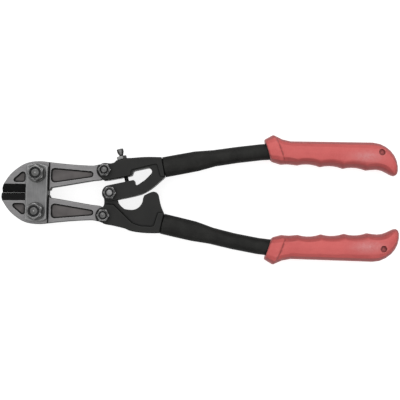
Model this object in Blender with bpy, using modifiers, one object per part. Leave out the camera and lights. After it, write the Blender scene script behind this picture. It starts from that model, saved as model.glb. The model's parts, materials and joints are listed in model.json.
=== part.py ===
"""A 350 mm (14 inch) pair of centre-cut bolt cutters, lying closed on its rear bolt heads.

The drawing plane is X-Y: jaws towards -X, grips towards +X, the handle with the adjusting screw at +Y.
Z is the pins' direction, and z = 0 in the drawing is the middle of the blades' thickness.
All shapes are drawn in millimetres and made in metres. The whole tool hangs on one empty, which puts
the middle of its lowest face at the world origin.
"""
from math import atan2, cos, hypot, pi, radians, sin, sqrt, tan

import bmesh
import bpy
from mathutils import Matrix, Vector

# ---------------------------------------------------------------- driving dimensions (mm, degrees)
GAP = 0.3                   # running gap between neighbouring pieces
HEAD = (0.35, -0.4)         # middle of the straps
BOLT_Y = 17.0               # jaw bolts' distance from the middle of the straps
STRAP_SKEW = 0.6            # how far the straps are turned in the drawing
JAW_SKEW = 2.0              # how far the closed jaws are turned in the drawing
EYE = (60.35, 3.3)          # rear pivot, from the jaw's own bolt: rearwards, outwards
EYE_RADIUS = 6.7            # round end of a jaw's arm
PIVOT_ARM = 20.95           # centre pivot to either rear pivot
CENTRE_HOLE = 5.3           # radius of the tongue's hole: room for the centre bolt's wander
FORK_GAP = 0.35             # between a fork's cheek and what it holds
PIVOT_TURN = 30.0           # the M6 hexagons have corners on +X and -X, the M8 ones on +Y and -Y

BEVEL_WIDTH = {1: 7.9, -1: 7.0}  # ground bevels of the upper and the lower jaw

JAW_HALF = 4.5              # half thicknesses, from the mid-plane
STRAP_THICK = 4.0
CASTING_HALF = 7.6
LIMB_HALF = 7.0             # the upper casting's lower limb
TONGUE_HALF = 4.4           # the lower casting's tongue, web and stop

TUBE_RADIUS = 7.35          # round part of a handle tube
TUBE_DEEP = 9.25            # flattened front end, half depth in the drawing plane
TUBE_FLAT = 6.6             # flattened front end, half thickness
TUBE_WALL = 1.5
SPIGOT = 18.0               # how far a casting reaches into its tube

SCREW_FOOT = (79.7, 14.9)   # where the adjusting screw's axis crosses the clamp slot
SCREW_TILT = 15.0           # its axis, from +Y towards -X
SEAT = 18.1                 # nut seat's distance from SCREW_FOOT along the axis

GROOVE_PITCH = 20.6         # finger grooves of a grip
GROOVE_DEPTH = 1.7
ROUND = 18                  # sides of a turned piece

ADJUSTER = dict(radius=2.0, head_radius=3.0, neck=22.6, head_low=25.2, head_high=28.0, low=-6.5, nut=3.0)


class Thread:
    """Sizes of one thread's bolt and nylon-insert nut."""

    def __init__(self, radius, flats, head, nut, hexagon, collar):
        self.radius = radius
        self.corner = flats / sqrt(3.0)
        self.head = head
        self.nut = nut
        self.hexagon = hexagon
        self.collar = collar
        self.pocket = collar - 0.9


M8 = Thread(radius=4.0, flats=13.0, head=5.3, nut=8.0, hexagon=6.0, collar=6.0)
M6 = Thread(radius=3.0, flats=10.0, head=4.0, nut=6.0, hexagon=4.6, collar=4.6)

# colour, metallic, roughness
FORGED = ("forged_steel", (0.22, 0.22, 0.225), 0.85, 0.48)
FASTENER = ("fastener_steel", (0.30, 0.30, 0.30), 0.9, 0.38)
BLACK = ("black_paint", (0.022, 0.022, 0.021), 0.0, 0.42)
NYLON = ("nylon", (0.05, 0.05, 0.055), 0.0, 0.55)
RED = ("red_grip", (0.55, 0.105, 0.10), 0.0, 0.55)


# ---------------------------------------------------------------- scene and materials
def clear_scene():
    for thing in list(bpy.data.objects):
        bpy.data.objects.remove(thing, do_unlink=True)


def new_collection(name):
    collection = bpy.data.collections.new(name)
    bpy.context.scene.collection.children.link(collection)
    return collection


def own_material(name, look):
    kind, colour, metallic, roughness = look
    material = bpy.data.materials.new(f"{name}_{kind}")
    material.use_nodes = True
    shader = material.node_tree.nodes["Principled BSDF"]
    shader.inputs["Base Color"].default_value = (*colour, 1.0)
    shader.inputs["Metallic"].default_value = metallic
    shader.inputs["Roughness"].default_value = roughness
    material.diffuse_color = (*colour, 1.0)
    return material


# ---------------------------------------------------------------- outlines
def rounded(corners, steps=4):
    """Outline of corners (x, y, radius), each corner with an arc that touches both its sides."""
    points = []
    for index, (x, y, radius) in enumerate(corners):
        here = Vector((x, y))
        back = Vector(corners[index - 1][:2]) - here
        ahead = Vector(corners[(index + 1) % len(corners)][:2]) - here
        if radius == 0.0:
            points.append((x, y))
            continue
        half = back.angle(ahead) / 2
        reach = min(radius / tan(half), 0.49 * back.length, 0.49 * ahead.length)
        radius = reach * tan(half)
        start = here + back.normalized() * reach
        end = here + ahead.normalized() * reach
        middle = here + (back.normalized() + ahead.normalized()).normalized() * (radius / sin(half))
        first = start - middle
        turn = first.angle_signed(end - middle)
        for step in range(steps + 1):
            spoke = first.copy()
            spoke.rotate(Matrix.Rotation(-turn * step / steps, 2))
            points.append(tuple(middle + spoke))
    return points


def arc(centre, radius, first, last, steps):
    """Points on a circle from angle first to angle last, in degrees."""
    angles = [radians(first + (last - first) * step / steps) for step in range(steps + 1)]
    return [(centre[0] + radius * cos(a), centre[1] + radius * sin(a)) for a in angles]


def smooth(points, steps=4):
    """Points of an even curve through the given ones, the last one left out."""
    run = [points[0], *points, points[-1]]
    curve = []
    for before, start, end, after in zip(run, run[1:], run[2:], run[3:]):
        for step in range(steps):
            t = step / steps
            curve.append(tuple(
                0.5 * (2 * b + (c - a) * t + (2 * a - 5 * b + 4 * c - d) * t * t
                       + (3 * b - a - 3 * c + d) * t ** 3)
                for a, b, c, d in zip(before, start, end, after)))
    return curve


def mirrored(points, side):
    """The outline on the drawing's upper side (1) or lower side (-1)."""
    return [(x, side * y) for x, y in points]


# ---------------------------------------------------------------- making objects
class Workshop:
    """Makes objects in metres from shapes in millimetres, and hangs them on one empty."""

    def __init__(self):
        clear_scene()
        self.parts = new_collection("bolt_cutters")
        self.cutters = new_collection("cutters")
        self.base = bpy.data.objects.new("base", None)
        self.parts.objects.link(self.base)

    def add(self, name, mesh, at=(0.0, 0.0, 0.0), look=None, parent=None):
        """Link a mesh as a part, or as a cutter where it has no look."""
        piece = bpy.data.objects.new(name, mesh)
        piece.location = Vector(at) * 0.001
        piece.parent = parent or self.base
        if look is None:
            self.cutters.objects.link(piece)
            piece.hide_render = True
            piece.display_type = "WIRE"
        else:
            self.parts.objects.link(piece)
            mesh.materials.append(own_material(name, look))
        return piece

    def plate(self, name, outline, low, high, edge=0.0, pivot=(0.0, 0.0), **place):
        """A flat piece between two heights, its edges rounded off by edge."""
        curve = bpy.data.curves.new(name, "CURVE")
        curve.dimensions = "2D"
        curve.fill_mode = "BOTH"
        curve.extrude = ((high - low) / 2 - edge) * 0.001
        curve.bevel_depth = edge * 0.001
        curve.bevel_resolution = 0
        curve.offset = -edge * 0.001
        spline = curve.splines.new("POLY")
        spline.points.add(len(outline) - 1)
        for point, (x, y) in zip(spline.points, outline):
            point.co = ((x - pivot[0]) * 0.001, (y - pivot[1]) * 0.001, 0.0, 1.0)
        spline.use_cyclic_u = True
        drawn = bpy.data.objects.new(name, curve)
        self.parts.objects.link(drawn)
        solid = drawn.evaluated_get(bpy.context.evaluated_depsgraph_get())
        mesh = bpy.data.meshes.new_from_object(solid)
        bpy.data.objects.remove(drawn)
        weld(mesh)
        mesh.transform(Matrix.Translation((0.0, 0.0, (low + high) / 2 * 0.001)))
        return self.add(name, mesh, at=(*pivot, 0.0), **place)

    def turned(self, name, profile, look=None, at=(0.0, 0.0, 0.0), sides=ROUND, **place):
        """A turned piece: (radius, z) points down its outer side, and up its bore if it has one."""
        mesh = bpy.data.meshes.new(name)
        corners = [(radius * 0.001, 0.0, z * 0.001) for radius, z in profile]
        edges = [(i, i + 1) for i in range(len(corners) - 1)]
        if profile[0][0] > 0.0:
            edges.append((len(corners) - 1, 0))
        mesh.from_pydata(corners, edges, [])
        piece = self.add(name, mesh, at=at, look=look, **place)
        screw = piece.modifiers.new("turn", "SCREW")
        screw.angle = 2 * pi
        screw.steps = screw.render_steps = sides
        screw.use_merge_vertices = True
        screw.merge_threshold = 0.00001
        screw.use_smooth_shade = False
        return piece

    def prism(self, name, sides, corner, low, high, at=(0.0, 0.0, 0.0), turn=0.0, **place):
        """A regular upright prism or, with many sides, a cylinder."""
        mesh = bpy.data.meshes.new(name)
        shape = bmesh.new()
        bmesh.ops.create_cone(shape, cap_ends=True, segments=sides, depth=(high - low) * 0.001,
                              radius1=corner * 0.001, radius2=corner * 0.001)
        shape.to_mesh(mesh)
        shape.free()
        rise = Matrix.Translation((0.0, 0.0, (low + high) / 2 * 0.001))
        mesh.transform(Matrix.Rotation(radians(turn), 4, "Z") @ rise)
        return self.add(name, mesh, at=at, **place)

    def box(self, name, low, high, **place):
        """A box between two corners."""
        mesh = bpy.data.meshes.new(name)
        shape = bmesh.new()
        bmesh.ops.create_cube(shape, size=1.0)
        size = Vector(high) - Vector(low)
        middle = (Vector(high) + Vector(low)) / 2
        shape.transform(Matrix.Translation(middle * 0.001) @ Matrix.Diagonal((*(size * 0.001), 1.0)))
        shape.to_mesh(mesh)
        shape.free()
        return self.add(name, mesh, **place)

    def loft(self, name, rings, closed, look=None, **place):
        """A skin over rings of equal point counts, with flat ends where it is closed."""
        mesh = bpy.data.meshes.new(name)
        shape = bmesh.new()
        rows = [[shape.verts.new(Vector(point) * 0.001) for point in ring] for ring in rings]
        for row, following in zip(rows, rows[1:]):
            for index in range(len(row)):
                shape.faces.new((row[index], following[index], following[index - 1], row[index - 1]))
        if closed:
            shape.faces.new(rows[0])
            shape.faces.new(rows[-1])
        bmesh.ops.recalc_face_normals(shape, faces=shape.faces)
        shape.to_mesh(mesh)
        shape.free()
        return self.add(name, mesh, look=look, **place)


def weld(mesh):
    shape = bmesh.new()
    shape.from_mesh(mesh)
    bmesh.ops.remove_doubles(shape, verts=shape.verts, dist=0.000001)
    bmesh.ops.recalc_face_normals(shape, faces=shape.faces)
    shape.to_mesh(mesh)
    shape.free()


def combine(piece, other, operation="DIFFERENCE"):
    boolean = piece.modifiers.new(f"{operation.lower()}_{other.name}", "BOOLEAN")
    boolean.operation = operation
    boolean.object = other


def smooth_shade(piece, angle=32.0):
    piece.data.shade_smooth()
    piece.data.set_sharp_from_angle(angle=radians(angle))


# ---------------------------------------------------------------- places worked out from the dimensions
def turned_by(point, degrees):
    a = radians(degrees)
    return (point[0] * cos(a) - point[1] * sin(a), point[0] * sin(a) + point[1] * cos(a))


def jaw_bolt(side):
    x, y = turned_by((0.0, side * BOLT_Y), STRAP_SKEW)
    return (HEAD[0] + x, HEAD[1] + y)


def rear_pivot(side):
    x, y = turned_by((EYE[0], side * EYE[1]), JAW_SKEW)
    bolt_x, bolt_y = jaw_bolt(side)
    return (bolt_x + x, bolt_y + y)


def centre_pivot():
    """The point PIVOT_ARM away from both rear pivots, on their grip side."""
    upper = Vector(rear_pivot(1))
    lower = Vector(rear_pivot(-1))
    across = (upper - lower) / 2
    ahead = Vector((across.y, -across.x)).normalized()
    return tuple((upper + lower) / 2 + ahead * sqrt(PIVOT_ARM ** 2 - across.length_squared))


UPPER_PIVOT = rear_pivot(1)
LOWER_PIVOT = rear_pivot(-1)
CENTRE_PIVOT = centre_pivot()
STRAP_LOW = JAW_HALF + GAP
STRAP_HIGH = STRAP_LOW + STRAP_THICK
WASHER_LOW = STRAP_HIGH + GAP
WASHER_HIGH = WASHER_LOW + 1.6


# ---------------------------------------------------------------- fasteners
def bolt(shop, name, thread, at, head_face, tip, turn=0.0):
    """A hexagon bolt: its head under head_face, its chamfered tip at the top."""
    corner = thread.corner
    chamfer = 0.14 * corner
    low = head_face - thread.head
    profile = [(0.0, tip), (0.75 * thread.radius, tip), (thread.radius, tip - 0.25 * thread.radius),
               (thread.radius, head_face), (corner, head_face), (corner, low + chamfer / 2),
               (corner - chamfer, low), (0.0, low)]
    piece = shop.turned(name, profile, look=FASTENER, at=(*at, 0.0))
    hexagon = shop.prism(f"{name}_hexagon", 6, corner, low - 1, tip + 1, at=(*at, 0.0), turn=turn)
    combine(piece, hexagon, "INTERSECT")
    return piece


def lock_insert_nut(shop, name, thread, at, seat, turn=0.0):
    """A nylon-insert nut standing on seat, and its insert in a node of its own."""
    corner = thread.corner
    chamfer = 0.12 * corner
    bore = thread.radius + GAP
    shelf = seat + 0.62 * thread.nut
    top = seat + thread.nut
    hexagon_top = seat + thread.hexagon
    profile = [(thread.collar - 0.4, top), (thread.collar, top - 0.4), (thread.collar, hexagon_top),
               (corner - chamfer, hexagon_top), (corner, hexagon_top - chamfer / 2),
               (corner, seat + chamfer / 2), (corner - chamfer, seat), (bore, seat), (bore, shelf),
               (thread.pocket, shelf), (thread.pocket, top)]
    nut = shop.turned(name, profile, look=FASTENER, at=(*at, 0.0))
    hexagon = shop.prism(f"{name}_hexagon", 6, corner, seat - 1, top + 1, at=(*at, 0.0), turn=turn)
    combine(nut, hexagon, "INTERSECT")
    ring(shop, f"{name}_insert", thread.radius + GAP, thread.pocket - GAP, shelf + GAP, top - 0.4, at, NYLON)


def ring(shop, name, inner, outer, low, high, at, look):
    profile = [(outer, high), (outer, low), (inner, low), (inner, high)]
    return shop.turned(name, profile, look=look, at=(*at, 0.0))


def jaw_fasteners(shop, word, side):
    at = jaw_bolt(side)
    ring(shop, f"{word}_front_washer", M8.radius + GAP, 8.2, WASHER_LOW, WASHER_HIGH, at, FASTENER)
    ring(shop, f"{word}_rear_washer", M8.radius + GAP, 8.2, -WASHER_HIGH, -WASHER_LOW, at, FASTENER)
    nut_seat = WASHER_HIGH + GAP
    bolt(shop, f"{word}_jaw_bolt", M8, at, -nut_seat, nut_seat + M8.nut - 0.2)
    lock_insert_nut(shop, f"{word}_jaw_nut", M8, at, nut_seat)


def pivot_fasteners(shop, word, at, half):
    seat = half + GAP
    bolt(shop, f"{word}_pivot_bolt", M6, at, -seat, seat + M6.nut + 0.7, turn=PIVOT_TURN)
    lock_insert_nut(shop, f"{word}_pivot_nut", M6, at, seat, turn=PIVOT_TURN)


# ---------------------------------------------------------------- jaw head
def strap(shop, name, low, high):
    """One of the two plates that carry the jaw bolts; its ends bow out to the jaws' outline."""
    left, right = -9.7, 10.0
    end = smooth([(right, 23.4), (6.5, 25.1), (0.6, 26.1), (-5.4, 25.7), (left, 24.5)], steps=2)
    end.append((left, 24.5))
    outline = end + [(x, -y) for x, y in reversed(end)]
    plate = shop.plate(name, outline, low, high, edge=0.8, look=FORGED)
    plate.location = (HEAD[0] * 0.001, HEAD[1] * 0.001, 0.0)
    plate.rotation_euler.z = radians(STRAP_SKEW)
    for side in (1, -1):
        hole = shop.prism(f"{name}_hole_{side}", ROUND, M8.radius + GAP, low - 1, high + 1,
                          at=(*jaw_bolt(side), 0.0))
        combine(plate, hole)
    return plate


def jaw_outline():
    """The upper jaw round its bolt, as (rearwards, height over the cutting edge)."""
    eye = (EYE[0], EYE[1] + BOLT_Y)
    nose = [(-2.0, 0.12), (-31.9, 0.12), (-31.9, 3.6)]
    back = smooth([(-31.7, 4.4), (-30.4, 7.6), (-24.4, 16.3), (-16.4, 23.1), (-8.4, 27.0), (2.0, 28.2),
                   (16.0, 26.8), (32.0, 25.3), (46.5, 24.5), (51.5, 24.6)], steps=3)
    end = arc(eye, EYE_RADIUS, 125.0, -78.0, 10)
    inner = [(56.5, 11.5), (50.0, 10.8), (40.0, 9.1), (24.0, 6.3), (12.4, 4.4), (11.6, 2.2)]
    return [(x, height - BOLT_Y) for x, height in nose + back + end + inner]


POCKETS = {                 # corners and their radii, on the upper and on the lower jaw
    1: {"blade": [(-24.8, 9.4, 2.0), (-10.9, 9.4, 2.6), (-10.9, 21.4, 2.2)],
        "arm": [(12.1, 8.7, 3.2), (49.9, 14.3, 2.4), (49.9, 19.0, 2.4), (12.1, 22.3, 3.2)]},
    -1: {"blade": [(-24.8, 9.6, 2.0), (-10.3, 9.6, 2.6), (-10.3, 22.2, 2.2)],
         "arm": [(13.0, 9.3, 3.2), (50.9, 15.6, 2.4), (50.9, 20.1, 2.4), (13.0, 23.1, 3.2)]},
}


def jaw(shop, word, side):
    """A jaw: plate, ground cutting bevels, lightening pockets on both faces, and two bores."""
    name = f"{word}_jaw"
    body = shop.plate(name, mirrored(jaw_outline(), side), -JAW_HALF, JAW_HALF, edge=0.45, look=FORGED)
    body.location = Vector((*jaw_bolt(side), 0.0)) * 0.001
    body.rotation_euler.z = radians(JAW_SKEW)

    depth = 1.6
    for face in (1, -1):
        for label, corners in POCKETS[side].items():
            outline = mirrored([(x, height - BOLT_Y) for x, height in rounded(corners)], side)
            low, high = sorted((face * (JAW_HALF - depth), face * (JAW_HALF + 2)))
            cutter = shop.plate(f"{name}_{label}_pocket_{face}", outline, low, high, parent=body)
            combine(body, cutter)
        combine(body, bevel_cutter(shop, f"{name}_bevel_{face}", side, face, body))
    for label, centre in (("bolt", (0.0, 0.0)), ("eye", (EYE[0], side * EYE[1]))):
        radius = (M8 if label == "bolt" else M6).radius + GAP
        hole = shop.prism(f"{name}_{label}_hole", ROUND, radius, -8, 8, at=(*centre, 0.0), parent=body)
        combine(body, hole)
    return body


def bevel_cutter(shop, name, side, face, body):
    """A wedge that grinds one face down to the cutting edge, leaving a narrow land."""
    land, width, over = 0.5, BEVEL_WIDTH[side], 3.0
    slope = (JAW_HALF - land) / width
    top = JAW_HALF + over * slope
    section = [(-over, land - over * slope), (width + over, top), (-over, top)]
    outline = [(side * (height - BOLT_Y), face * z) for height, z in section]
    cutter = shop.plate(name, outline, -36.0, -4.0, parent=body)
    cutter.rotation_euler = Matrix(((0, 0, 1), (1, 0, 0), (0, 1, 0))).to_euler()
    return cutter


# ---------------------------------------------------------------- castings
def fork_cutters(shop, name, pivot, side):
    """Room for a jaw's round end between the fork's cheeks."""
    half = JAW_HALF + FORK_GAP
    cutters = [shop.prism(f"{name}_fork_round", ROUND, 9.1, -half, half, at=(*pivot, 0.0))]
    low, high = sorted((pivot[1] - side * 9.7, pivot[1] + side * 15.0))
    cutters.append(shop.box(f"{name}_fork_mouth", (45.0, low, -half), (pivot[0], high, half)))
    return cutters


def spigot(shop, name, tube):
    """The casting's tang inside the tube, slimmer than the tube's bore by the gap."""
    (x, y), (ahead_x, ahead_y) = tube[0], tube[1]
    along = atan2(ahead_y - y, ahead_x - x)
    tang = shop.prism(f"{name}_spigot", ROUND, 1.0, -4.0, SPIGOT)
    clear = TUBE_WALL + GAP
    squash = Matrix.Diagonal((TUBE_FLAT - clear, TUBE_DEEP - clear, 1.0, 1.0))
    lay = Matrix.Rotation(along, 4, "Z") @ Matrix.Rotation(pi / 2, 4, "Y")
    tang.data.transform(Matrix.Translation((x * 0.001, y * 0.001, 0.0)) @ lay @ squash)
    return tang


def holes(shop, body, name, places):
    for label, at in places:
        hole = shop.prism(f"{name}_{label}_hole", ROUND, M6.radius + GAP, -12, 12, at=(*at, 0.0))
        combine(body, hole)


def seam(tube):
    """The casting's end against the tube: both corners of the tube's front end, a gap short of it."""
    (x, y), (ahead_x, ahead_y) = tube[0], tube[1]
    length = hypot(ahead_x - x, ahead_y - y)
    along = ((ahead_x - x) / length, (ahead_y - y) / length)
    start = (x - GAP * along[0], y - GAP * along[1])
    deep = TUBE_DEEP - 0.35
    return [(start[0] - side * deep * along[1], start[1] + side * deep * along[0]) for side in (1, -1)]


def seat_point(across, along=SEAT):
    """A point on the nut seat, across from the screw's axis."""
    tilt = radians(SCREW_TILT)
    return (SCREW_FOOT[0] - along * sin(tilt) + across * cos(tilt),
            SCREW_FOOT[1] + along * cos(tilt) + across * sin(tilt))


def upper_casting(shop, tube):
    """The upper handle's casting: fork for the jaw, clamp slot with its opening, fork for the tongue."""
    name = "upper_handle_casting"
    top_end, bottom_end = seam(tube)
    boss = arc(UPPER_PIVOT, 6.5, 225.0, 85.0, 9)
    top = [(65.5, 28.2), (68.6, 29.2), seat_point(-4.9), seat_point(4.9)]
    shoulder = smooth([(84.0, 33.9), (92.0, 34.9), (100.0, 35.5), (107.0, 35.6), top_end], steps=2)
    shoulder.append(top_end)
    lower = smooth([bottom_end, (111.4, 15.2), (105.4, 9.4), (99.4, 4.9), (93.4, 1.6), (83.6, -1.3),
                    (76.0, -3.1), (70.5, -4.5)], steps=2)
    centre_boss = arc(CENTRE_PIVOT, 7.2, -68.0, -242.0, 12)
    slot_low = [(66.0, 9.1), (78.0, 12.1), (86.2, 14.2)]
    opening = rounded([(87.4, 13.6, 0), (88.4, 8.5, 1.7), (97.0, 14.9, 8.0), (103.3, 22.0, 2.4),
                       (100.3, 26.2, 2.4), (86.1, 22.5, 2.2), (84.8, 18.4, 0)], steps=3)
    slot_high = [(80.0, 16.9), (64.0, 13.3), (59.6, 12.9), (57.8, 14.6)]
    outline = boss + top + shoulder + lower + centre_boss + slot_low + opening + slot_high
    body = shop.plate(name, outline, -CASTING_HALF, CASTING_HALF, edge=0.7, pivot=UPPER_PIVOT, look=BLACK)

    limb = rounded([(50.0, 10.4, 0), (62.0, 10.4, 0), (83.2, 15.6, 1.0), (83.4, 23.2, 2.4),
                    (106.8, 30.0, 2.4), (110.4, 18.6, 1.5), (125.0, 18.6, 0), (125.0, -15.0, 0),
                    (50.0, -15.0, 0)])
    for face in (1, -1):
        low, high = sorted((face * LIMB_HALF, face * (CASTING_HALF + 2)))
        combine(body, shop.plate(f"{name}_limb_{face}", limb, low, high))
    for cutter in fork_cutters(shop, name, UPPER_PIVOT, 1):
        combine(body, cutter)
    half = TONGUE_HALF + FORK_GAP
    x, y = CENTRE_PIVOT
    combine(body, shop.prism(f"{name}_tongue_round", ROUND, 9.3, -half, half, at=(x, y, 0.0)))
    combine(body, shop.box(f"{name}_tongue_below", (50.0, -20.0, -half), (x + 9.3, y, half)))
    combine(body, shop.box(f"{name}_tongue_ahead", (50.0, y - 1.0, -half), (x, y + 8.7, half)))
    holes(shop, body, name, (("jaw", UPPER_PIVOT), ("centre", CENTRE_PIVOT)))
    combine(body, spigot(shop, name, tube), "UNION")
    bore = [(0.0, 30.0), (2.3, 30.0), (2.3, -8.5), (0.0, -8.5)]
    combine(body, along_screw(shop, f"{name}_screw_hole", bore))
    return body


def lower_casting(shop, tube):
    """The lower handle's casting: fork for the jaw, tongue for the centre pivot, web and stop."""
    name = "lower_handle_casting"
    top_end, bottom_end = seam(tube)
    boss = arc(LOWER_PIVOT, 6.5, 262.0, 128.0, 9)
    neck = [(59.0, -12.2), (60.9, -9.6), (60.9, -5.6)]
    tongue = arc(CENTRE_PIVOT, 6.7, 215.0, -22.0, 12)
    scoop = smooth([(72.6, -4.2), (74.0, -7.6), (78.2, -11.4), (81.6, -12.3), (87.4, -12.3), (92.0, -9.9),
                    (94.9, -5.4), (95.5, -0.6)], steps=3)
    stop = smooth([(96.4, 0.9), (99.5, 2.6), (103.0, 4.3), (106.0, 4.5), (108.8, 2.6), (110.0, -2.0),
                   (111.9, -8.5), top_end], steps=2)
    belly = smooth([bottom_end, (100.0, -32.8), (90.0, -32.2), (84.0, -31.0), (80.5, -29.5), (70.0, -27.4),
                    (64.0, -26.6), (60.0, -25.6)], steps=2)
    outline = boss + neck + tongue + scoop + stop + [top_end] + belly
    body = shop.plate(name, outline, -CASTING_HALF, CASTING_HALF, edge=0.7, pivot=LOWER_PIVOT, look=BLACK)

    web = rounded([(50.0, -8.4, 0), (69.3, -8.4, 2.5), (87.0, -24.4, 6.0), (94.0, -26.6, 6.0),
                   (106.0, -26.6, 2.4), (109.4, -14.0, 1.6), (125.0, -14.0, 0), (125.0, 15.0, 0),
                   (50.0, 15.0, 0)])
    for face in (1, -1):
        low, high = sorted((face * TONGUE_HALF, face * (CASTING_HALF + 2)))
        combine(body, shop.plate(f"{name}_web_{face}", web, low, high))
    for cutter in fork_cutters(shop, name, LOWER_PIVOT, -1):
        combine(body, cutter)
    holes(shop, body, name, (("jaw", LOWER_PIVOT),))
    combine(body, shop.prism(f"{name}_centre_hole", ROUND, CENTRE_HOLE, -12, 12, at=(*CENTRE_PIVOT, 0.0)))
    combine(body, spigot(shop, name, tube), "UNION")
    return body


# ---------------------------------------------------------------- adjusting screw
def along_screw(shop, name, profile, look=None, sides=16):
    """A piece turned about the adjusting screw's axis, heights measured from the clamp slot."""
    piece = shop.turned(name, profile, look=look, at=(*SCREW_FOOT, 0.0), sides=sides)
    piece.rotation_euler = (-pi / 2, 0.0, radians(SCREW_TILT))
    return piece


def adjuster(shop):
    size = ADJUSTER
    radius, head = size["radius"], size["head_radius"]
    high = size["head_high"]
    screw = [(0.0, high), (head - 0.5, high), (head, high - 0.5), (head, size["head_low"]),
             (radius, size["neck"]), (radius, size["low"] + 0.6), (radius - 0.6, size["low"]),
             (0.0, size["low"])]
    along_screw(shop, "adjusting_screw", screw, look=FASTENER)

    seat, corner, chamfer = SEAT + GAP, 8.0 / sqrt(3.0), 0.5
    top = seat + size["nut"]
    nut = [(corner - chamfer, top), (corner, top - chamfer / 2), (corner, seat + chamfer / 2),
           (corner - chamfer, seat), (radius + GAP, seat), (radius + GAP, top)]
    nut = along_screw(shop, "lock_nut", nut, look=FASTENER, sides=ROUND)
    hexagon = shop.prism("lock_nut_hexagon", 6, corner, seat - 1, top + 1, at=(*SCREW_FOOT, 0.0), turn=0.0)
    hexagon.rotation_euler = nut.rotation_euler
    combine(nut, hexagon, "INTERSECT")


# ---------------------------------------------------------------- handles
UPPER_TUBE = [(112.9, 27.1), (127.0, 30.3), (142.0, 33.7), (150.0, 35.4), (158.0, 37.1), (178.0, 40.8),
              (200.0, 44.2), (214.0, 45.4), (230.0, 45.5), (262.0, 45.5), (298.0, 45.5)]
LOWER_TUBE = [(113.5, -23.7), (127.0, -26.4), (142.0, -29.3), (150.0, -31.0), (158.0, -32.8), (178.0, -36.9),
              (200.0, -40.3), (214.0, -41.4), (230.0, -41.0), (262.0, -39.9), (300.0, -38.6)]
TUBE_FLATTENING = [1.0, 1.0, 0.92, 0.5, 0.08, 0.0, 0.0, 0.0, 0.0, 0.0, 0.0]


def tube_rings(route, grow=0.0, sides=20, first=0):
    """Ellipses square to the route, deepest where the tube is flattened onto its casting."""
    rings = []
    for index in range(first, len(route)):
        here = Vector(route[index])
        back = Vector(route[max(index - 1, 0)])
        ahead = Vector(route[min(index + 1, len(route) - 1)])
        across = Vector((-(ahead - back).y, (ahead - back).x)).normalized()
        flat = TUBE_FLATTENING[index]
        deep = TUBE_RADIUS + (TUBE_DEEP - TUBE_RADIUS) * flat + grow
        thick = TUBE_RADIUS + (TUBE_FLAT - TUBE_RADIUS) * flat + grow
        angles = [2 * pi * step / sides for step in range(sides)]
        rings.append([(here.x + across.x * deep * cos(a), here.y + across.y * deep * cos(a), thick * sin(a))
                      for a in angles])
    return rings


def handle_tube(shop, word, route, pivot):
    rings = [[(x - pivot[0], y - pivot[1], z) for x, y, z in ring] for ring in tube_rings(route)]
    piece = shop.loft(f"{word}_handle_tube", rings, False, look=BLACK, at=(*pivot, 0.0))
    shell = piece.modifiers.new("wall", "SOLIDIFY")
    shell.thickness = TUBE_WALL * 0.001
    shell.offset = -1.0
    smooth_shade(piece)
    return piece


GRIP_STATIONS = [           # outer edge, inner edge, half thickness, from the collar to the hooked tip
    ((-2.7, 10.6), (3.3, -7.8), 9.8),
    ((-1.2, 11.6), (5.0, -9.4), 10.6),
    ((4.4, 15.0), (11.6, -11.2), 12.0),
    ((5.6, 15.2), (13.0, -11.5), 12.1),
    ((9.2, 13.5), (16.0, -11.1), 11.6),
    ((13.2, 11.7), (19.5, -10.9), 11.3),
    ((21.0, 10.2), (27.5, -11.6), 11.1),
    ((95.0, 12.1), (89.3, -13.7), 11.4),
    ((101.0, 11.2), (94.0, -13.0), 11.4),
    ((106.2, 8.9), (98.7, -12.6), 11.3),
    ((110.8, 5.4), (103.2, -13.2), 11.0),
    ((114.3, 1.2), (107.0, -14.6), 10.5),
    ((116.6, -3.4), (110.0, -16.1), 9.6),
    ((117.9, -8.4), (112.2, -17.1), 8.2),
    ((118.2, -12.6), (113.9, -17.6), 6.2),
    ((117.6, -15.6), (115.2, -17.7), 3.6),
]
GROOVED = 6                 # the station where the four finger grooves start
HOLE_AT = {1: (102.2, 2.8), -1: (103.1, 0.5)}  # blind hanging hole near the tip
HOLE_RADIUS = 2.8


def between(start, end, share):
    if isinstance(start, tuple):
        return tuple(between(a, b, share) for a, b in zip(start, end))
    return start + (end - start) * share


def grip_stations(per_groove=5):
    """GRIP_STATIONS with the grooved stretch filled in: each groove is a shallow arc between two cusps."""
    stations = GRIP_STATIONS[:GROOVED]
    start, end = GRIP_STATIONS[GROOVED:GROOVED + 2]
    grooves = round((end[1][0] - start[1][0]) / GROOVE_PITCH)
    count = grooves * per_groove
    for step in range(count + 1):
        outer, inner, half = between(start, end, step / count)
        in_groove = (step % per_groove) / per_groove
        lift = GROOVE_DEPTH * (1 - (2 * in_groove - 1) ** 2)
        stations.append((outer, (inner[0], inner[1] + lift), half))
    return stations + GRIP_STATIONS[GROOVED + 2:]


def grip_rings(stations, sides=16, squareness=2.5):
    """Rounded sections, each between its outer and its inner edge."""
    power = 2 / squareness
    rings = []
    for outer, inner, half in stations:
        ring_points = []
        for step in range(sides):
            a = 2 * pi * step / sides
            share = 0.5 + 0.5 * abs(cos(a)) ** power * (1 if cos(a) >= 0 else -1)
            x, y = between(inner, outer, share)
            ring_points.append((x, y, half * abs(sin(a)) ** power * (1 if sin(a) >= 0 else -1)))
        rings.append(ring_points)
    return rings


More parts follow.
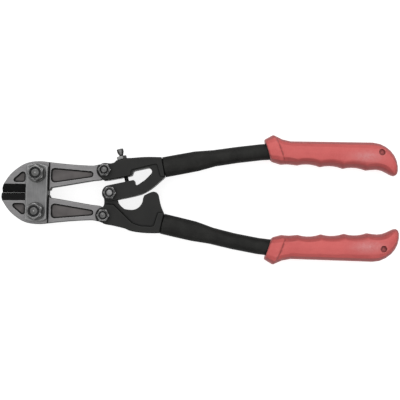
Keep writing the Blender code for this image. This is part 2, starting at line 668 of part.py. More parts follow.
def grip(shop, word, side, at, turn, route, pivot):
    """A moulded grip with its collar, grooves and hooked end, bored for the tube."""
    def placed(point):
        x, y = turned_by((point[0], side * point[1]), turn)
        return (at[0] + x - pivot[0], at[1] + y - pivot[1])

    rings = [[(*placed(point[:2]), point[2]) for point in ring] for ring in grip_rings(grip_stations())]
    body = shop.loft(f"{word}_grip", rings, True, look=RED, at=(*pivot, 0.0))
    smooth_shade(body)
    reach = Vector(route[-1]) + (Vector(route[-1]) - Vector(route[-2])).normalized() * GAP
    bore_route = route[:-1] + [tuple(reach)]
    bore = shop.loft(f"{word}_grip_bore", tube_rings(bore_route, grow=GAP, first=5), True)
    combine(body, bore)
    hole_x, hole_y = placed(HOLE_AT[side])
    hole_at = (hole_x + pivot[0], hole_y + pivot[1], 0.0)
    hole = shop.prism(f"{word}_grip_hole", 16, HOLE_RADIUS, 7.5, 14.0, at=hole_at)
    combine(body, hole)
    return body


# ---------------------------------------------------------------- the whole tool
def stand_on_origin(shop):
    """Move the tool so that the middle of its lowest face is the world origin."""
    graph = bpy.context.evaluated_depsgraph_get()
    corners = []
    for piece in shop.parts.objects:
        if piece.type == "MESH":
            whole = piece.evaluated_get(graph)
            corners += [whole.matrix_world @ vertex.co for vertex in whole.data.vertices]
    low = Vector([min(corner[i] for corner in corners) for i in range(3)])
    high = Vector([max(corner[i] for corner in corners) for i in range(3)])
    shop.base.location = (-(low.x + high.x) / 2, -(low.y + high.y) / 2, -low.z)
    bpy.context.view_layer.update()


def build():
    shop = Workshop()
    strap(shop, "front_strap", STRAP_LOW, STRAP_HIGH)
    strap(shop, "rear_strap", -STRAP_HIGH, -STRAP_LOW)
    for word, side in (("upper", 1), ("lower", -1)):
        jaw_fasteners(shop, word, side)
        jaw(shop, word, side)
    upper_casting(shop, UPPER_TUBE)
    lower_casting(shop, LOWER_TUBE)
    pivot_fasteners(shop, "upper", UPPER_PIVOT, CASTING_HALF)
    pivot_fasteners(shop, "lower", LOWER_PIVOT, CASTING_HALF)
    pivot_fasteners(shop, "centre", CENTRE_PIVOT, LIMB_HALF)
    adjuster(shop)
    handle_tube(shop, "upper", UPPER_TUBE, UPPER_PIVOT)
    handle_tube(shop, "lower", LOWER_TUBE, LOWER_PIVOT)
    grip(shop, "upper", 1, (205.0, 45.0), 0.0, UPPER_TUBE, UPPER_PIVOT)
    grip(shop, "lower", -1, (208.3, -41.3), 1.8, LOWER_TUBE, LOWER_PIVOT)
    bpy.context.view_layer.update()
    stand_on_origin(shop)


build()
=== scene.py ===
"""Looks of a 350 mm pair of bolt cutters: forged jaws, painted castings and tubes, dusty red grips.

Every piece stands in the frame's own coordinates, in metres. The castings, jaws, straps, tubes and grips
are finer meshes of the frame's solids, and the bolts, nuts and screw are turned and threaded afresh.
"""
import json
from math import atan2, cos, pi, radians, sin, sqrt

import bmesh
import bpy
import numpy as np
from mathutils import Matrix, Vector, kdtree


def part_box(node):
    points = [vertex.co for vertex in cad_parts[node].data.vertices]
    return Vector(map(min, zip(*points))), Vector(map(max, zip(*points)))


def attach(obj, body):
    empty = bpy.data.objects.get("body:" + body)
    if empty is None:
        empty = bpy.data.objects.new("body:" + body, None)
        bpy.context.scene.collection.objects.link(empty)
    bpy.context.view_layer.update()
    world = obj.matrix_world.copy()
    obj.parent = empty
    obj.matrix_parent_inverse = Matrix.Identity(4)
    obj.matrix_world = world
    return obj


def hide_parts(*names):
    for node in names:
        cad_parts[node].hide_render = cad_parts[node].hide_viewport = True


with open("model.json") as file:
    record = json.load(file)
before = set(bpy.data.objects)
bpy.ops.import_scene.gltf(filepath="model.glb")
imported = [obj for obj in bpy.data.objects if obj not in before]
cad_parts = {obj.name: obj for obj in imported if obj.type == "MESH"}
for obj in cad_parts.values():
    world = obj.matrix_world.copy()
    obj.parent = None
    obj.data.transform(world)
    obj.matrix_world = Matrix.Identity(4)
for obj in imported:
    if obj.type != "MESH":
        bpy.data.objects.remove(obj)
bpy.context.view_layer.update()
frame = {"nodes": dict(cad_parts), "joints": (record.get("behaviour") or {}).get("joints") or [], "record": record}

MM = 0.001
SENSOR = 36.0
VIEW_WIDTH = 360 * MM            # how much the camera takes in on the tool's middle plane
ROLL = radians(2.3)              # the camera's turn about its own axis
EYE_OFF = Vector((0.0, -35.0, 850.0)) * MM   # camera from the point that it looks at
AIM = Vector((-0.55, -2.99, 16.3)) * MM


# ---------------------------------------------------------------- frame look-ups
def middle(node):
    low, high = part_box(node)
    return (low + high) / 2


def height(node):
    low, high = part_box(node)
    return low.z, high.z


JOINT = {joint["name"]: joint for joint in frame["joints"]}
BODY_OF = {node: body for body, nodes in frame["record"]["behaviour"]["bodies"].items() for node in nodes}


def place(piece, node, *more):
    """The piece stands for the node and rides on its body."""
    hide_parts(node, *more)
    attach(piece, BODY_OF[node])


# ---------------------------------------------------------------- mesh helpers
def link(name, mesh):
    thing = bpy.data.objects.new(name, mesh)
    bpy.context.scene.collection.objects.link(thing)
    return thing


def applied(thing, name=None):
    """The object with its modifiers baked into one new mesh."""
    graph = bpy.context.evaluated_depsgraph_get()
    mesh = bpy.data.meshes.new_from_object(thing.evaluated_get(graph))
    thing.modifiers.clear()
    thing.data = mesh
    mesh.name = name or thing.name
    return thing


def shade(thing, angle=35.0):
    thing.data.shade_smooth()
    if angle:
        thing.data.set_sharp_from_angle(angle=radians(angle))


def welded_copy(node, name):
    mesh = frame["nodes"][node].data.copy()
    body = bmesh.new()
    body.from_mesh(mesh)
    bmesh.ops.remove_doubles(body, verts=body.verts, dist=0.002 * MM)
    bmesh.ops.dissolve_degenerate(body, edges=body.edges, dist=0.002 * MM)
    body.to_mesh(mesh)
    body.free()
    mesh.materials.clear()
    for layer in [a.name for a in mesh.attributes if not a.is_required and a.name[0] != "."]:
        mesh.attributes.remove(mesh.attributes[layer])
    return link(name, mesh)


def neighbours_mean(points, edges, counts):
    total = np.zeros_like(points)
    np.add.at(total, edges[:, 0], points[edges[:, 1]])
    np.add.at(total, edges[:, 1], points[edges[:, 0]])
    return total / counts[:, None]


def read_mesh(mesh):
    points = np.empty(len(mesh.vertices) * 3)
    mesh.vertices.foreach_get("co", points)
    edges = np.empty(len(mesh.edges) * 2, int)
    mesh.edges.foreach_get("vertices", edges)
    normals = np.empty(len(mesh.vertices) * 3)
    mesh.vertices.foreach_get("normal", normals)
    return points.reshape(-1, 3), edges.reshape(-1, 2), normals.reshape(-1, 3)


def softened(points, edges, rounds):
    """Points after rounds of smoothing that keep the volume: a growing step undoes each shrinking one."""
    counts = np.bincount(edges.ravel(), minlength=len(points)).clip(1)
    for _ in range(rounds):
        points = points + 0.5 * (neighbours_mean(points, edges, counts) - points)
        points = points - 0.53 * (neighbours_mean(points, edges, counts) - points)
    return points


def hollowness(points, edges, normals, rounds, scale):
    """How hollow (+) or proud (-) the surface is at each point, over a few cells."""
    counts = np.bincount(edges.ravel(), minlength=len(points)).clip(1)
    smooth = points
    for _ in range(rounds):
        smooth = neighbours_mean(smooth, edges, counts)
    return (((smooth - points) * normals).sum(1) / scale).clip(-1.0, 1.0)


def write(mesh, name, values):
    layer = mesh.attributes.new(name, "FLOAT", "POINT")
    layer.data.foreach_set("value", np.asarray(values, np.float32))


def fine(node, cell, rounds, faces, shape=None):
    """A finer, softer mesh of a node: remeshed in cells, smoothed, and thinned to a number of triangles."""
    piece = welded_copy(node, f"{node}_fine")
    remesh = piece.modifiers.new("cells", "REMESH")
    remesh.mode = "VOXEL"
    remesh.voxel_size = cell
    applied(piece)
    points, edges, normals = read_mesh(piece.data)
    points = softened(points, edges, rounds)
    if shape:
        points = softened(shape(points, normals), edges, 1)
    piece.data.vertices.foreach_set("co", points.ravel())
    piece.data.update()
    points, edges, normals = read_mesh(piece.data)
    hollow = hollowness(points, edges, normals, 10, cell * 0.9)
    tree = kdtree.KDTree(len(points))
    for index, point in enumerate(points):
        tree.insert(point, index)
    tree.balance()
    thin = piece.modifiers.new("thin", "DECIMATE")
    thin.ratio = min(1.0, faces / (2.0 * len(piece.data.polygons)))
    applied(piece)
    nearest = [tree.find(vertex.co)[1] for vertex in piece.data.vertices]
    write(piece.data, "hollow", hollow[nearest])
    shade(piece, 0)
    return piece


# ---------------------------------------------------------------- materials
class Look:
    """A node material under construction."""

    def __init__(self, name, roughness, metallic=0.0, specular=0.5):
        self.material = bpy.data.materials.new(name)
        self.material.use_nodes = True
        self.tree = self.material.node_tree
        self.shader = self.tree.nodes["Principled BSDF"]
        self.shader.inputs["Roughness"].default_value = roughness
        self.shader.inputs["Metallic"].default_value = metallic
        self.shader.inputs["Specular IOR Level"].default_value = specular

    def new(self, kind, **values):
        node = self.tree.nodes.new(kind)
        for key, value in values.items():
            setattr(node, key, value)
        return node

    def wire(self, source, target):
        self.tree.links.new(source, target)

    def spot(self, stretch=(1.0, 1.0, 1.0)):
        """Object coordinates in millimetres, stretched."""
        place_node = self.new("ShaderNodeTexCoord")
        scale = self.new("ShaderNodeMapping")
        scale.inputs["Scale"].default_value = [1000.0 * s for s in stretch]
        self.wire(place_node.outputs["Object"], scale.inputs["Vector"])
        return scale.outputs["Vector"]

    def noise(self, size, detail=4.0, stretch=(1.0, 1.0, 1.0), rough=0.55):
        """Noise whose blotches are about size millimetres across."""
        texture = self.new("ShaderNodeTexNoise")
        texture.inputs["Scale"].default_value = 1.0 / size
        texture.inputs["Detail"].default_value = detail
        texture.inputs["Roughness"].default_value = rough
        self.wire(self.spot(stretch), texture.inputs["Vector"])
        return texture.outputs["Fac"]

    def grains(self, size):
        texture = self.new("ShaderNodeTexVoronoi")
        texture.inputs["Scale"].default_value = 1.0 / size
        self.wire(self.spot(), texture.inputs["Vector"])
        return texture.outputs["Distance"]

    def attribute(self, name):
        return self.new("ShaderNodeAttribute", attribute_name=name).outputs["Fac"]

    def upright(self):
        """1 on the faces square to the pivots, 0 on the side walls."""
        around = self.new("ShaderNodeTexCoord")
        parts = self.new("ShaderNodeSeparateXYZ")
        size = self.new("ShaderNodeMath", operation="ABSOLUTE")
        self.wire(around.outputs["Normal"], parts.inputs["Vector"])
        self.wire(parts.outputs["Z"], size.inputs[0])
        return size.outputs[0]

    def offset(self, origin):
        """Object coordinates from an origin."""
        around = self.new("ShaderNodeTexCoord")
        move = self.new("ShaderNodeVectorMath", operation="SUBTRACT")
        move.inputs[1].default_value = origin
        self.wire(around.outputs["Object"], move.inputs[0])
        return move.outputs["Vector"]

    def beyond(self, origin, direction):
        """Millimetres beyond a plane through the origin, along the direction."""
        measure = self.new("ShaderNodeVectorMath", operation="DOT_PRODUCT")
        measure.inputs[1].default_value = direction / MM
        self.wire(self.offset(origin), measure.inputs[0])
        return measure.outputs["Value"]

    def from_pivot(self, origin):
        """Millimetres from a pivot's axis."""
        flat = self.new("ShaderNodeVectorMath", operation="MULTIPLY")
        flat.inputs[1].default_value = (1 / MM, 1 / MM, 0.0)
        self.wire(self.offset(origin), flat.inputs[0])
        measure = self.new("ShaderNodeVectorMath", operation="LENGTH")
        self.wire(flat.outputs["Vector"], measure.inputs[0])
        return measure.outputs["Value"]

    def band(self, value, low, high, soft, amount=1.0):
        """The amount between low and high, with soft ends outside them."""
        rise = self.span(value, low - soft, low, 0.0, amount)
        fall = self.span(value, high, high + soft, 1.0, 0.0)
        node = self.new("ShaderNodeMath", operation="MULTIPLY")
        self.wire(rise, node.inputs[0])
        self.wire(fall, node.inputs[1])
        return node.outputs[0]

    def span(self, value, low, high, to_low=0.0, to_high=1.0):
        """The value, moved from one range to another and kept inside it."""
        node = self.new("ShaderNodeMapRange")
        node.inputs["From Min"].default_value = low
        node.inputs["From Max"].default_value = high
        node.inputs["To Min"].default_value = to_low
        node.inputs["To Max"].default_value = to_high
        self.wire(value, node.inputs["Value"])
        return node.outputs["Result"]

    def mix(self, amount, first, second):
        node = self.new("ShaderNodeMix", data_type="RGBA")
        self.wire(amount, node.inputs["Factor"])
        for value, index in ((first, 6), (second, 7)):
            if isinstance(value, tuple):
                node.inputs[index].default_value = (*value, 1.0)
            else:
                self.wire(value, node.inputs[index])
        return node.outputs[2]

    def sum(self, first, second, weight):
        node = self.new("ShaderNodeMath", operation="MULTIPLY_ADD")
        self.wire(second, node.inputs[0])
        node.inputs[1].default_value = weight
        self.wire(first, node.inputs[2])
        return node.outputs[0]

    def finish(self, colour, roughness=None, relief=None, depth=0.02):
        """Wires colour, roughness and a relief whose full height is depth millimetres."""
        self.wire(colour, self.shader.inputs["Base Color"])
        if roughness is not None:
            self.wire(roughness, self.shader.inputs["Roughness"])
        if relief is not None:
            bump = self.new("ShaderNodeBump")
            bump.inputs["Strength"].default_value = 1.0
            bump.inputs["Distance"].default_value = depth * MM
            self.wire(relief, bump.inputs["Height"])
            self.wire(bump.outputs["Normal"], self.shader.inputs["Normal"])
        return self.material


# Near black for painted shadow: the band beside the straps' rear edge and the rings round the handle pivots.
PAINTED_SHADOW_BLACK = (0.007, 0.007, 0.007)


def strap_edge():
    """The straps' middle, the direction square to their long edges, and how far the rear edge lies, in mm."""
    upper, lower = middle("upper_jaw_bolt"), middle("lower_jaw_bolt")
    along = (upper - lower).normalized()
    out = Vector((along.y, -along.x, 0.0))
    low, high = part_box("front_strap")
    centre = (upper + lower) / 2
    skew = abs(along.x) * (high.y - low.y) / 2
    return centre, out, (high.x - centre.x - skew) / MM


def forged_steel():
    """Dull blasted forging: darker in the pockets and near black on the ground bevels, with painted shade near
    black round the pockets' floors, in other hollows and on the side walls, painted shadow beside the straps and
    round the handle pivots, and a painted highlight on proud edges.
    """
    look = Look("forged_steel", 0.5, metallic=0.8)
    cloud = look.noise(9.0, 5.0)
    grit = look.noise(0.5, 3.0)
    base = look.mix(look.span(cloud, 0.35, 0.65), (0.185, 0.181, 0.184), (0.235, 0.231, 0.234))
    base = look.mix(look.span(grit, 0.3, 0.75, 0.0, 0.35), base, (0.15, 0.145, 0.148))
    fibre = look.noise(1.1, 3.0, stretch=(0.08, 1.0, 1.0))
    base = look.mix(look.span(fibre, 0.35, 0.65, 0.0, 0.35), base, (0.30, 0.295, 0.298))
    base = look.mix(look.attribute("pocket"), base, (0.112, 0.103, 0.102))
    hollow = look.attribute("hollow")
    # Painted shade: near black in the hollows, such as round the pockets' floors.
    base = look.mix(look.span(hollow, 0.03, 0.30, 0.0, 0.94), base, (0.008, 0.008, 0.008))
    # Painted highlight: lighter on the proud edges.
    base = look.mix(look.span(hollow, -0.10, -0.5, 0.0, 0.25), base, (0.36, 0.36, 0.36))
    # Painted shade: near black on the side walls.
    base = look.mix(look.span(look.upright(), 0.97, 0.80), base, (0.006, 0.006, 0.006))
    middle_of_strap, out_of_strap, strap_reach = strap_edge()
    beside = look.beyond(middle_of_strap, out_of_strap)
    # Painted shadow: a near-black band on the jaw along the straps' rear edge.
    base = look.mix(look.band(beside, strap_reach, strap_reach + 1.0, 0.4), base, PAINTED_SHADOW_BLACK)
    # Painted shadow: a near-black ring round each handle pivot's nut.
    for pivot in ("upper_handle_pivot", "lower_handle_pivot"):
        around = look.from_pivot(Vector(JOINT[pivot]["pos_m"]))
        base = look.mix(look.band(around, 6.0, 7.4, 0.4, 0.95), base, PAINTED_SHADOW_BLACK)
    streak = look.noise(0.35, 2.0, stretch=(1.0, 0.12, 1.0))
    black = look.mix(look.span(streak, 0.35, 0.7), (0.004, 0.004, 0.004), (0.015, 0.0145, 0.0145))
    base = look.mix(look.attribute("ground"), base, black)
    base = look.mix(look.attribute("lip"), base, (0.020, 0.019, 0.018))
    rough = look.span(cloud, 0.3, 0.7, 0.42, 0.58)
    relief = look.sum(grit, look.noise(1.8, 3.0), 0.8)
    return look.finish(base, rough, relief, 0.03)


def pressed_steel():
    """Strap plate: satin, finely brushed across the tool, with a painted highlight along its long edges, painted
    shade near black on its side walls and dark in its hollows.
    """
    look = Look("pressed_steel", 0.4, metallic=0.85)
    brush = look.noise(0.25, 3.0, stretch=(1.0, 0.05, 1.0))
    cloud = look.noise(14.0, 3.0)
    base = look.mix(look.span(cloud, 0.35, 0.65), (0.150, 0.150, 0.151), (0.195, 0.195, 0.196))
    base = look.mix(look.span(brush, 0.3, 0.7, 0.0, 0.5), base, (0.11, 0.11, 0.11))
    hollow = look.attribute("hollow")
    # Painted highlight: lighter on the proud edges.
    base = look.mix(look.span(hollow, -0.10, -0.45, 0.0, 0.6), base, (0.38, 0.38, 0.38))
    # Painted shade: near black on the side walls.
    base = look.mix(look.span(look.upright(), 0.62, 0.35), base, (0.004, 0.004, 0.004))
    # Painted shade: darker in the hollows.
    base = look.mix(look.span(hollow, 0.05, 0.4), base, (0.03, 0.03, 0.03))
    rough = look.span(brush, 0.3, 0.7, 0.34, 0.46)
    return look.finish(base, rough, brush, 0.008)


def plated_steel(name, bright, wall_low=0.05, wall_high=0.30):
    """Zinc-grey steel with dark marks, and painted shade: black on the faces that stand steeper than the two wall
    values.
    """
    look = Look(name, 0.34, metallic=0.92)
    cloud = look.noise(2.2, 4.0)
    mark = look.noise(0.3, 3.0)
    dark = bright * 0.6
    base = look.mix(look.span(cloud, 0.35, 0.65), (dark, dark, dark), (bright, bright, bright * 0.99))
    base = look.mix(look.span(mark, 0.55, 0.8, 0.0, 0.5), base, (dark * 0.5, dark * 0.5, dark * 0.48))
    # Painted shade: black on the steep faces.
    base = look.mix(look.span(look.upright(), wall_high, wall_low), base, (0.004, 0.004, 0.004))
    rough = look.span(cloud, 0.3, 0.7, 0.28, 0.44)
    return look.finish(base, rough, mark, 0.01)


def dark_nylon():
    look = Look("dark_nylon", 0.5, specular=0.4)
    cloud = look.noise(0.9, 3.0)
    base = look.mix(look.span(cloud, 0.3, 0.7), (0.014, 0.014, 0.015), (0.032, 0.032, 0.034))
    return look.finish(base, look.span(cloud, 0.3, 0.7, 0.42, 0.6), cloud, 0.02)


def black_paint(name, tone, grain, depth, roughness, side_low, side_high, specular):
    """Satin black over metal, with the surface under it showing through, lighter on proud edges from edge wear and
    painted highlight, and painted shade: darker in the hollows and blackest on the side walls.
    """
    look = Look(name, roughness, specular=specular)
    cloud = look.noise(12.0, 4.0)
    skin = look.noise(grain, 4.0)
    darker = (tone * 0.76, tone * 0.76, tone * 0.72)
    lighter = (tone * 1.24, tone * 1.24, tone * 1.17)
    base = look.mix(look.span(cloud, 0.35, 0.65), darker, lighter)
    hollow = look.attribute("hollow")
    # Painted shade: near black in the hollows.
    base = look.mix(look.span(hollow, 0.05, 0.4), base, (0.004, 0.004, 0.004))
    # Lighter on the proud edges: edge wear and painted highlight.
    base = look.mix(look.span(hollow, -0.12, -0.5, 0.0, 0.15), base, (0.055, 0.055, 0.052))
    # Painted shade: blackest on the side walls.
    base = look.mix(look.span(look.upright(), side_high, side_low), base, (0.0015, 0.0015, 0.0015))
    rough = look.span(cloud, 0.3, 0.7, roughness - 0.05, roughness + 0.07)
    return look.finish(base, rough, look.sum(skin, look.grains(grain * 1.6), 0.5), depth)


def red_grip():
    """Moulded soft plastic: dusty red, paler on the proud places from wear and painted highlight, and painted
    shade deeper in the hollows and darker on the side faces.
    """
    look = Look("moulded_red", 0.5, specular=0.4)
    cloud = look.noise(16.0, 4.0)
    dust = look.noise(1.1, 5.0)
    base = look.mix(look.span(cloud, 0.35, 0.65), (0.60, 0.098, 0.094), (0.66, 0.116, 0.110))
    base = look.mix(look.span(dust, 0.45, 0.75, 0.0, 0.25), base, (0.70, 0.20, 0.19))
    hollow = look.attribute("hollow")
    powder = look.noise(2.4, 6.0, rough=0.7)
    dusted = look.mix(look.span(powder, 0.35, 0.70, 0.35, 1.0), base, (0.66, 0.27, 0.27))
    base = look.mix(look.attribute("dust"), base, dusted)
    # Paler on the proud places: wear and painted highlight.
    base = look.mix(look.span(hollow, -0.15, -0.6, 0.0, 0.3), base, (0.72, 0.20, 0.19))
    # Painted shade: darker on the side faces.
    base = look.mix(look.span(look.upright(), 0.94, 0.60, 0.0, 0.82), base, (0.27, 0.042, 0.041))
    # Painted shade: deeper in the hollows.
    base = look.mix(look.span(hollow, 0.04, 0.4, 0.0, 0.65), base, (0.16, 0.027, 0.027))
    rough = look.span(dust, 0.3, 0.7, 0.46, 0.60)
    look.shader.inputs["Sheen Weight"].default_value = 0.08
    return look.finish(base, rough, look.sum(dust, look.noise(0.35, 3.0), 0.5), 0.03)


def pale_floor():
    look = Look("pale_floor", 0.9, specular=0.1)
    cloud = look.noise(400.0, 2.0)
    look.shader.inputs["Emission Color"].default_value = (1.0, 1.0, 1.0, 1.0)
    look.shader.inputs["Emission Strength"].default_value = 0.80
    return look.finish(look.mix(cloud, (0.42, 0.42, 0.42), (0.45, 0.45, 0.45)))


FORGED = forged_steel()
PRESSED = pressed_steel()
PLATED = plated_steel("plated_steel", 0.13)
# A lighter copy of the plated steel for the sloping faces of bolts and nuts: painted highlight.
HIGHLIGHT_STEEL = plated_steel("worn_steel", 0.46)
DOMED = plated_steel("bolt_end_steel", 0.13)
PIVOT_END = plated_steel("pivot_end_steel", 0.15)
# A lighter copy of the end steel: painted highlight on the centre pivot's bolt end and the bright point on the jaw
# bolts' ends.
CENTRE_END = plated_steel("centre_end_steel", 0.30)
SCREW_STEEL = plated_steel("screw_steel", 0.20, wall_low=0.55, wall_high=0.90)
LOCK_STEEL = plated_steel("lock_nut_steel", 0.30, wall_low=0.55, wall_high=0.90)
NYLON = dark_nylon()
CAST_BLACK = black_paint("cast_black", 0.0135, 0.7, 0.05, 0.46, 0.80, 0.97, 0.22)
TUBE_BLACK = black_paint("tube_black", 0.022, 1.6, 0.02, 0.50, 0.30, 0.92, 0.08)
RED = red_grip()


# ---------------------------------------------------------------- jaws and straps
JAW_CELL = 0.34 * MM
BEVEL_REACH = 10.0 * MM          # how far from the seam the ground bevels reach
FLOOR_STEP = 0.35 * MM           # how deep below the jaw's face the pockets' floors begin
FLOOR_LOWEST = 2.4 * MM          # and how deep they end
BEHIND_FRONT = 6.0 * MM          # how far the bevels reach in under the strap
RIDGE, EDGE_GAP = 0.75, 0.06     # mm from the seam: the rounded-off ridge, and the edge drawn back out of it


def seam_line():
    """A point on the closed jaws' seam, and the direction square to it, towards the upper jaw."""
    bolts = [Vector(JOINT[f"{word}_jaw_pivot"]["pos_m"]) for word in ("upper", "lower")]
    rears = [Vector(JOINT[f"{word}_handle_pivot"]["pos_m"]) for word in ("upper", "lower")]
    along = (rears[0] - bolts[0]).normalized() + (rears[1] - bolts[1]).normalized()
    return (bolts[0] + bolts[1]) / 2, Vector((-along.y, along.x, 0.0)).normalized()


def keen_edge(mesh, side, strap_front):
    """Draws the smoothed ridge of a cutting edge back out to the seam."""
    centre, across = seam_line()
    for vertex in mesh.vertices:
        gap = side * (vertex.co - centre).dot(across) / MM
        on_ridge = gap < RIDGE and abs(vertex.co.z - centre.z) < 0.6 * MM
        if on_ridge and vertex.co.x < strap_front:
            vertex.co.y -= side * (gap - EDGE_GAP) * MM / across.y
    mesh.update()


def jaw(node, side):
    """side is 1 for the upper jaw, whose edge faces -Y, and -1 for the lower one."""
    piece = fine(node, JAW_CELL, 4, 26000)
    mesh = piece.data
    low, high = height(node)
    lowest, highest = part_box(node)
    strap_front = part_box("front_strap")[0].x
    keen_edge(mesh, side, strap_front)
    seam = (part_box("upper_jaw")[0].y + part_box("lower_jaw")[1].y) / 2
    masks = {"ground": [], "lip": [], "pocket": []}
    for face in mesh.polygons:
        at, normal = face.center, face.normal
        depth = min(at.z - low, high - at.z)
        near = at.x < strap_front + BEHIND_FRONT and abs(at.y - seam) < BEVEL_REACH
        lip = near and normal.y * side < -0.8
        ground = near and 0.5 < abs(normal.z) < 0.985 and normal.y * side < -0.12
        inside = lowest.y + 1.5 * MM < at.y < highest.y - 1.5 * MM
        pocket = abs(normal.z) > 0.9 and FLOOR_STEP < depth < FLOOR_LOWEST and inside and not ground
        masks["ground"].append(ground or lip)
        masks["lip"].append(lip)
        masks["pocket"].append(pocket)
    for name, values in masks.items():
        layer = mesh.attributes.new(name, "FLOAT", "FACE")
        layer.data.foreach_set("value", np.asarray(values, np.float32))
    mesh.materials.append(FORGED)
    place(piece, node)


def straps():
    for node in ("front_strap", "rear_strap"):
        piece = fine(node, 0.3 * MM, 2, 7000)
        piece.data.materials.append(PRESSED)
        place(piece, node)


# ---------------------------------------------------------------- castings, tubes, grips
def castings():
    for node in ("upper_handle_casting", "lower_handle_casting"):
        piece = fine(node, 0.38 * MM, 5, 26000)
        piece.data.materials.append(CAST_BLACK)
        place(piece, node)


def tubes():
    for node in ("upper_handle_tube", "lower_handle_tube"):
        piece = fine(node, 0.42 * MM, 4, 9000)
        piece.data.materials.append(TUBE_BLACK)
        place(piece, node)


GRIP_ZERO = {                     # side, turn, and how far the grip's own zero lies inside its box
    "upper_grip": (1, 0.0, (2.7, 15.2)),
    "lower_grip": (-1, radians(1.8), (2.4, 15.0)),
}
CREASE = (6.1, 15.2, 0.376)       # where the collar ends at its outer corner, and how the line leans
STEP, STEP_LENGTH = 0.7, 5.0      # how far the grip drops behind the collar, and how soon it recovers
CUSPS = (27.5, -11.6, 89.3, -13.7)   # the first and last cusp between the finger grooves
GROOVES = 3
FACET = 0.24                      # how much thinner a groove's flank is at the edge
DUST = (89.0, -1.7, 13.0, 4.6)    # middle of the dusty patch, and its reach both ways


def grip_coordinates(node, points):
    """Millimetres along the grip and outwards, from the end of its collar."""
    side, turn, (inset_x, inset_y) = GRIP_ZERO[node]
    low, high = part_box(node)
    x = points[:, 0] / MM - low.x / MM - inset_x
    y = points[:, 1] / MM - (high.y / MM - inset_y if side > 0 else low.y / MM + inset_y)
    return x * cos(turn) + y * sin(turn), side * (y * cos(turn) - x * sin(turn))


def grip_shape(node):
    """Steps the surface down behind the collar, and cuts a flank along each finger groove."""
    mid = middle(node).z

    def shape(points, normals):
        along, out = grip_coordinates(node, points)
        start_x, start_y, lean = CREASE
        behind = (along - start_x - (start_y - out) * lean) * cos(atan2(lean, 1.0))
        drop = STEP * np.exp(-behind.clip(0.0) / STEP_LENGTH) * behind.clip(0.0, 0.7) / 0.7

        first_x, first_y, last_x, last_y = CUSPS
        share = (along - first_x) / (last_x - first_x)
        phase = (share * GROOVES) % 1.0
        inside = out - (first_y + (last_y - first_y) * share)
        flank = 4.6 + 1.8 * (1.0 - (2.0 * phase - 1.0) ** 2)
        thinner = FACET * ((flank - inside) / flank).clip(0.0, 1.0)
        thinner *= ((along - 14.0) / 5.0).clip(0.0, 1.0) * ((112.0 - along) / 10.0).clip(0.0, 1.0)

        shaped = points.copy()
        shaped[:, 2] = mid + (points[:, 2] - mid) * (1.0 - thinner) - drop * MM * normals[:, 2]
        return shaped

    return shape


def grips():
    for node in ("upper_grip", "lower_grip"):
        piece = fine(node, 0.5 * MM, 7, 18000, grip_shape(node))
        along, out = grip_coordinates(node, read_mesh(piece.data)[0])
        centre_x, centre_y, reach_x, reach_y = DUST
        dust = np.exp(-((along - centre_x) / reach_x) ** 2 - ((out - centre_y) / reach_y) ** 2)
        write(piece.data, "dust", dust)
        piece.data.materials.append(RED)
        place(piece, node)


# ---------------------------------------------------------------- turned and threaded pieces
TURNED_SIDES = 48


def lathe(name, profile, sides=TURNED_SIDES):
    """A closed body of revolution about Z; the profile runs from the axis at the top to the axis at the foot,
    or round a ring."""
    body = bmesh.new()
    on_axis = profile[0][0] == 0.0
    spokes = [2 * pi * k / sides for k in range(sides)]
    rings = []
    for radius, z in profile:
        if radius == 0.0:
            rings.append([body.verts.new((0.0, 0.0, z * MM))])
            continue
        rings.append([body.verts.new((radius * MM * cos(a), radius * MM * sin(a), z * MM)) for a in spokes])
    pairs = list(zip(rings, rings[1:]))
    if not on_axis:
        pairs.append((rings[-1], rings[0]))
    for upper, lower in pairs:
        for k in range(sides):
            after = (k + 1) % sides
            corners = [upper[k % len(upper)], lower[k % len(lower)], lower[after % len(lower)],
                       upper[after % len(upper)]]
            corners = [c for i, c in enumerate(corners) if c not in corners[:i]]
            body.faces.new(corners)
    bmesh.ops.recalc_face_normals(body, faces=body.faces)
    mesh = bpy.data.meshes.new(name)
    body.to_mesh(mesh)
    body.free()
    return link(name, mesh)


def hexagon(name, flats, low, high):
    """A hexagonal prism with corners on +Y and -Y."""
    body = bmesh.new()
    bmesh.ops.create_cone(body, cap_ends=True, segments=6, radius1=flats / sqrt(3.0) * MM,
                          radius2=flats / sqrt(3.0) * MM, depth=(high - low) * MM,
                          matrix=Matrix.Translation((0, 0, (low + high) / 2 * MM)))
    points = {round(atan2(v.co.y, v.co.x) / (pi / 6)) for v in body.verts}
    if 3 not in points:
        bmesh.ops.rotate(body, verts=body.verts, matrix=Matrix.Rotation(pi / 6, 3, "Z"))
    mesh = bpy.data.meshes.new(name)
    body.to_mesh(mesh)
    body.free()
    return link(name, mesh)


def combine(target, cutter, operation):
    step = target.modifiers.new("step", "BOOLEAN")
    step.operation = operation
    step.object = cutter
    applied(target)
    bpy.data.objects.remove(cutter, do_unlink=True)
    return target


def soft_edges(thing, width=0.15, angle=30.0):
    edges = thing.modifiers.new("edges", "BEVEL")
    edges.width = width * MM
    edges.segments = 2
    edges.limit_method = "ANGLE"
    edges.angle_limit = radians(angle)
    applied(thing)
    shade(thing, 35.0)


def dome(radius, top, rise, steps=5):
    """Profile of a domed end, from the axis outwards and down by rise."""
    return [(radius * sin(pi / 2 * k / steps), top - rise + rise * cos(pi / 2 * k / steps))
            for k in range(steps + 1)]


